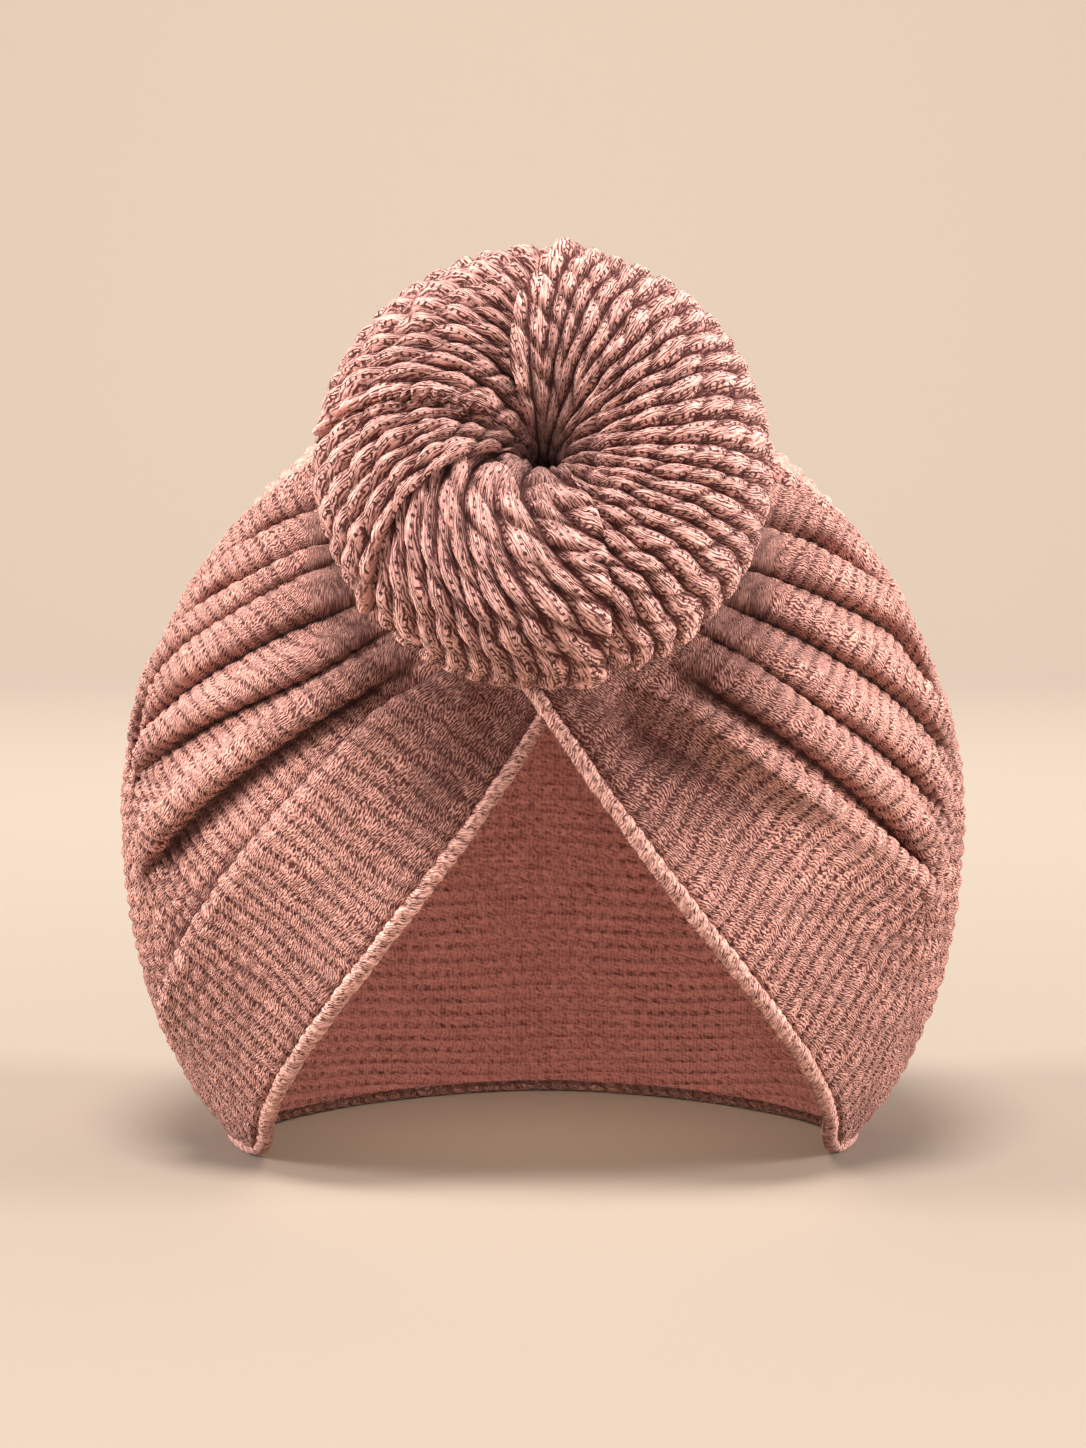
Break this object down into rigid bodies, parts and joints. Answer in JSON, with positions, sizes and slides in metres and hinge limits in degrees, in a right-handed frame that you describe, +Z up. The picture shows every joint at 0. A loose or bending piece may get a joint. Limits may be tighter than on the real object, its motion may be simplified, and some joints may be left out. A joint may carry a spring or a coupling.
{
  "type": "turban headwrap",
  "caption": "Pull-on knitted head wrap with pleated side panels that cross over the forehead and a round wound knot on the front of the crown.",
  "frame": {"origin": "where the crown of the head touches the inside of the wrap, on its middle plane", "axes": "+X to the wearer's left, -Y the way the wearer faces, +Z up"},
  "size_m": [0.1874, 0.2389, 0.201],
  "materials": {
    "knit_outside": "dusty rose ribbed knit, matt, with small eyelets",
    "knit_back": "dusty rose ribbed knit, matt, darker mauve brown on the inside",
    "knot_knit": "dusty rose knit in rope-like ribs, matt, with rows of small eyelets",
    "overlock": "overlocked and rolled knit edge, matt, slightly fuzzy"
  },
  "bodies": {
    "root": {"cap_back": "knit_back", "wrap_left": "knit_outside", "wrap_right": "knit_outside", "edging_left": "overlock", "edging_right": "overlock", "hem_roll": "overlock", "knot_band_right": "knot_knit", "knot_band_top": "knot_knit", "knot_band_left": "knot_knit", "knot_band_bottom": "knot_knit"}
  },
  "joints": []
}
